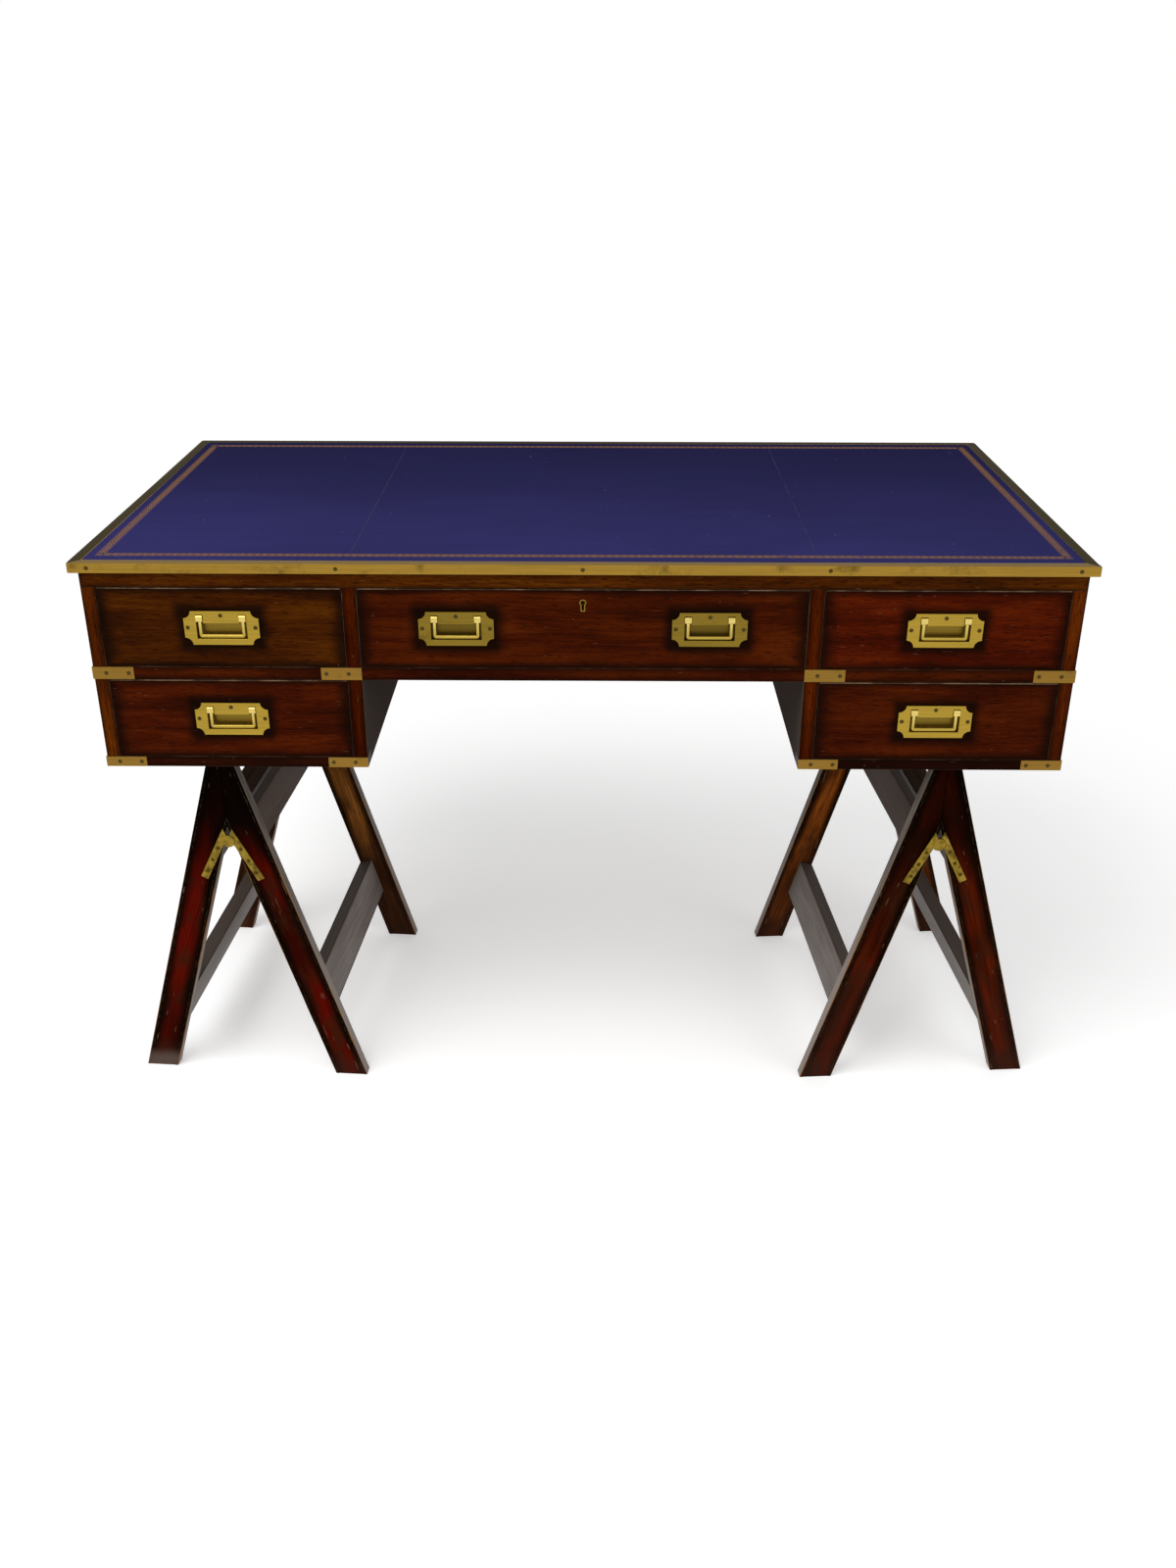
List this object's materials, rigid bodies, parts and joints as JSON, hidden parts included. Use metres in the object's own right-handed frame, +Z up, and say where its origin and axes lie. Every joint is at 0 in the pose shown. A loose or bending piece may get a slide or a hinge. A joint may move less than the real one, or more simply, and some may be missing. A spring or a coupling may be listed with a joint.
{
  "type": "campaign desk",
  "caption": "Leather-topped mahogany campaign desk with brass-mounted drawers round a kneehole, standing on a pair of folding trestles.",
  "frame": {"origin": "on the floor, under the middle of the top", "axes": "+X along the desk's length to the sitter's right, -Y towards the sitter, +Z up"},
  "size_m": [1.2562, 0.645, 0.762],
  "materials": {
    "mahogany": "worn french polish",
    "trestle_wood": "worn, waxed",
    "drawer_lining": "bare, aged",
    "pine": "bare, aged",
    "leather": "polished, worn",
    "brass": "aged"
  },
  "bodies": {
    "case": {"desktop_panel": "mahogany", "leather_writing_surface": "leather", "brass_edging": "brass", "left_end_panel": "mahogany", "right_end_panel": "mahogany", "left_partition": "mahogany", "right_partition": "mahogany", "top_rail": "mahogany", "middle_rail": "mahogany", "bottom_rails": "mahogany", "middle_boards": "pine", "bottom_boards": "pine", "back_panel": "mahogany", "brass_corner_straps": "brass", "case_screws": "brass"},
    "left_upper_drawer": {"left_upper_drawer_front": "mahogany", "left_upper_drawer_box": "drawer_lining", "left_upper_drawer_handle_plate": "brass", "left_upper_drawer_handle_screws": "brass"},
    "left_upper_drawer_bail": {"left_upper_drawer_bail": "brass"},
    "left_lower_drawer": {"left_lower_drawer_front": "mahogany", "left_lower_drawer_box": "drawer_lining", "left_lower_drawer_handle_plate": "brass", "left_lower_drawer_handle_screws": "brass"},
    "left_lower_drawer_bail": {"left_lower_drawer_bail": "brass"},
    "right_upper_drawer": {"right_upper_drawer_front": "mahogany", "right_upper_drawer_box": "drawer_lining", "right_upper_drawer_handle_plate": "brass", "right_upper_drawer_handle_screws": "brass"},
    "right_upper_drawer_bail": {"right_upper_drawer_bail": "brass"},
    "right_lower_drawer": {"right_lower_drawer_front": "mahogany", "right_lower_drawer_box": "drawer_lining", "right_lower_drawer_handle_plate": "brass", "right_lower_drawer_handle_screws": "brass"},
    "right_lower_drawer_bail": {"right_lower_drawer_bail": "brass"},
    "centre_drawer": {"centre_drawer_front": "mahogany", "centre_drawer_box": "drawer_lining", "centre_drawer_handle_plates": "brass", "centre_drawer_handle_screws": "brass", "keyhole_escutcheon": "brass", "lock_body": "brass"},
    "centre_drawer_left_bail": {"centre_drawer_left_bail": "brass"},
    "centre_drawer_right_bail": {"centre_drawer_right_bail": "brass"},
    "lock_bolt": {"lock_bolt": "brass"},
    "left_trestle_outer_frame": {"left_trestle_outer_front_leg": "trestle_wood", "left_trestle_outer_rear_leg": "trestle_wood", "left_trestle_outer_cross_rails": "trestle_wood", "left_trestle_outer_hinge_leaves": "brass"},
    "left_trestle_inner_frame": {"left_trestle_inner_front_leg": "trestle_wood", "left_trestle_inner_rear_leg": "trestle_wood", "left_trestle_inner_cross_rails": "trestle_wood", "left_trestle_inner_hinge_leaves": "brass"},
    "right_trestle_outer_frame": {"right_trestle_outer_front_leg": "trestle_wood", "right_trestle_outer_rear_leg": "trestle_wood", "right_trestle_outer_cross_rails": "trestle_wood", "right_trestle_outer_hinge_leaves": "brass"},
    "right_trestle_inner_frame": {"right_trestle_inner_front_leg": "trestle_wood", "right_trestle_inner_rear_leg": "trestle_wood", "right_trestle_inner_cross_rails": "trestle_wood", "right_trestle_inner_hinge_leaves": "brass"}
  },
  "joints": [
    {"name": "left_upper_drawer_slide", "type": "slide", "parent": "case", "child": "left_upper_drawer", "axis": [0, -1, 0], "range_m": [0, 0.45]},
    {"name": "left_upper_drawer_bail_swing", "type": "hinge", "parent": "left_upper_drawer", "child": "left_upper_drawer_bail", "pos_m": [-0.4365, -0.3132, 0.6911], "axis": [-1, 0, 0], "range_deg": [0, 90]},
    {"name": "left_lower_drawer_slide", "type": "slide", "parent": "case", "child": "left_lower_drawer", "axis": [0, -1, 0], "range_m": [0, 0.45]},
    {"name": "left_lower_drawer_bail_swing", "type": "hinge", "parent": "left_lower_drawer", "child": "left_lower_drawer_bail", "pos_m": [-0.4365, -0.3132, 0.5715], "axis": [-1, 0, 0], "range_deg": [0, 90]},
    {"name": "right_upper_drawer_slide", "type": "slide", "parent": "case", "child": "right_upper_drawer", "axis": [0, -1, 0], "range_m": [0, 0.45]},
    {"name": "right_upper_drawer_bail_swing", "type": "hinge", "parent": "right_upper_drawer", "child": "right_upper_drawer_bail", "pos_m": [0.4365, -0.3132, 0.6911], "axis": [-1, 0, 0], "range_deg": [0, 90]},
    {"name": "right_lower_drawer_slide", "type": "slide", "parent": "case", "child": "right_lower_drawer", "axis": [0, -1, 0], "range_m": [0, 0.45]},
    {"name": "right_lower_drawer_bail_swing", "type": "hinge", "parent": "right_lower_drawer", "child": "right_lower_drawer_bail", "pos_m": [0.4365, -0.3132, 0.5715], "axis": [-1, 0, 0], "range_deg": [0, 90]},
    {"name": "centre_drawer_slide", "type": "slide", "parent": "case", "child": "centre_drawer", "axis": [0, -1, 0], "range_m": [0, 0.45]},
    {"name": "centre_drawer_left_bail_swing", "type": "hinge", "parent": "centre_drawer", "child": "centre_drawer_left_bail", "pos_m": [-0.153, -0.3132, 0.6911], "axis": [-1, 0, 0], "range_deg": [0, 90]},
    {"name": "centre_drawer_right_bail_swing", "type": "hinge", "parent": "centre_drawer", "child": "centre_drawer_right_bail", "pos_m": [0.153, -0.3132, 0.6911], "axis": [-1, 0, 0], "range_deg": [0, 90]},
    {"name": "lock_bolt_slide", "type": "slide", "parent": "centre_drawer", "child": "lock_bolt", "axis": [0, 0, 1], "range_m": [0, 0.007]},
    {"name": "left_trestle_fold", "type": "hinge", "parent": "left_trestle_outer_frame", "child": "left_trestle_inner_frame", "pos_m": [-0.468, -0.2865, 0.372], "axis": [0.0698, 0.9976, 0], "range_deg": [0, 32]},
    {"name": "right_trestle_fold", "type": "hinge", "parent": "right_trestle_outer_frame", "child": "right_trestle_inner_frame", "pos_m": [0.468, -0.2865, 0.372], "axis": [0.0698, -0.9976, 0], "range_deg": [0, 32]},
    {"name": "case_lift_off", "type": "slide", "parent": "left_trestle_outer_frame", "child": "case", "axis": [0, 0, 1], "range_m": [0, 0.25]},
    {"name": "right_trestle_place", "type": "slide", "parent": "left_trestle_outer_frame", "child": "right_trestle_outer_frame", "axis": [1, 0, 0], "range_m": [0, 0.06]}
  ]
}
